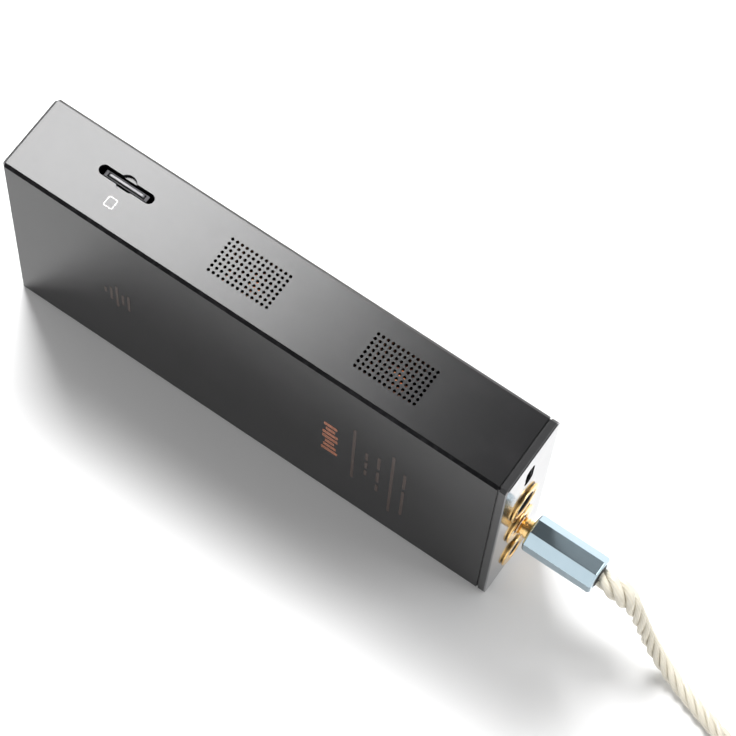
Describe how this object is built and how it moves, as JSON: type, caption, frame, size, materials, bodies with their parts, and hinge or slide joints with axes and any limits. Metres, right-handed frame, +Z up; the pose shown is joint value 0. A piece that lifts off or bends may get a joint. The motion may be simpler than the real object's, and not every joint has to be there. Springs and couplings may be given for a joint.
{
  "type": "desktop dac",
  "caption": "Slim black aluminium DAC and headphone amplifier with vented tubes inside, card slot, ring-lipped sockets and a plugged-in twisted lead.",
  "frame": {"origin": "middle of the footprint of the case, on the surface that it stands on", "axes": "+X along the case towards the sockets, +Y through its thickness away from the printed face, +Z up"},
  "size_m": [0.3131, 0.0332, 0.0744],
  "materials": {
    "black_anodised": "satin black anodised, finely blasted",
    "polished_plate": "polished dark anodised",
    "gold": "gold plated, polished",
    "steel": "plated, fine",
    "black_plastic": "moulded black",
    "circuit_board": "solder mask",
    "tube_glass": "clear glass",
    "silicone": "matt",
    "blue_aluminium": "pale blue-silver anodised, polished facets",
    "lead_sleeve": "clear sleeve over silver-plated strands",
    "battery_wrap": "foil wrap",
    "foam": "open-cell foam",
    "ferrite": "fired ferrite"
  },
  "bodies": {
    "dac": {"amplifier_chip_left": "black_plastic", "amplifier_chip_right": "black_plastic", "balanced_jack": "black_plastic", "balanced_ring": "gold", "battery_pack": "battery_wrap", "battery_pad": "foam", "card_board": "circuit_board", "card_socket": "steel", "card_spacer": "black_plastic", "case_sleeve": "black_anodised", "clock_can": "steel", "control_board": "circuit_board", "control_end_plate": "black_anodised", "converter_chip": "black_plastic", "headphone_jack": "black_plastic", "headphone_ring": "gold", "left_capacitor_far": "gold", "left_capacitor_near": "gold", "left_tube": "tube_glass", "left_tube_collar": "silicone", "left_tube_socket": "black_plastic", "line_jack": "black_plastic", "line_ring": "gold", "main_board": "circuit_board", "plate_screw_lower": "steel", "plate_screw_upper": "steel", "port_end_plate": "polished_plate", "power_inductor": "ferrite", "power_switch": "steel", "right_capacitor_far": "gold", "right_capacitor_near": "gold", "right_tube": "tube_glass", "right_tube_collar": "silicone", "right_tube_socket": "black_plastic", "screw_post_lower": "steel", "screw_post_upper": "steel", "shield_can": "steel", "usb_riser": "black_plastic", "usb_socket": "steel", "usb_tongue": "black_plastic", "volume_down_switch": "steel", "volume_up_switch": "steel"},
    "lead": {"plug_pin": "gold", "plug_collar": "gold", "plug_barrel": "blue_aluminium", "plug_bush": "black_plastic", "cord": "lead_sleeve", "cord_hank": "lead_sleeve", "cord_tie": "black_plastic", "cord_tail": "lead_sleeve", "far_plug_bush": "black_plastic", "far_plug_barrel": "blue_aluminium", "far_plug_collar": "gold", "far_plug_pin": "gold"},
    "memory_card": {"memory_card": "black_plastic"},
    "power_button": {"power_button": "black_anodised"},
    "volume_up_button": {"volume_up_button": "black_anodised"},
    "volume_down_button": {"volume_down_button": "black_anodised"}
  },
  "joints": [
    {"name": "lead_pull", "type": "slide", "parent": "dac", "child": "lead", "axis": [1, 0, 0], "range_m": [0, 0.024]},
    {"name": "card_eject", "type": "slide", "parent": "dac", "child": "memory_card", "axis": [0, 0, 1], "range_m": [0, 0.012]},
    {"name": "power_press", "type": "slide", "parent": "dac", "child": "power_button", "axis": [1, 0, 0], "range_m": [0, 0.0004], "stiffness_N_per_m": 2000, "springref_m": -0.0003},
    {"name": "volume_up_press", "type": "slide", "parent": "dac", "child": "volume_up_button", "axis": [1, 0, 0], "range_m": [0, 0.0004], "stiffness_N_per_m": 2000, "springref_m": -0.0003},
    {"name": "volume_down_press", "type": "slide", "parent": "dac", "child": "volume_down_button", "axis": [1, 0, 0], "range_m": [0, 0.0004], "stiffness_N_per_m": 2000, "springref_m": -0.0003}
  ]
}
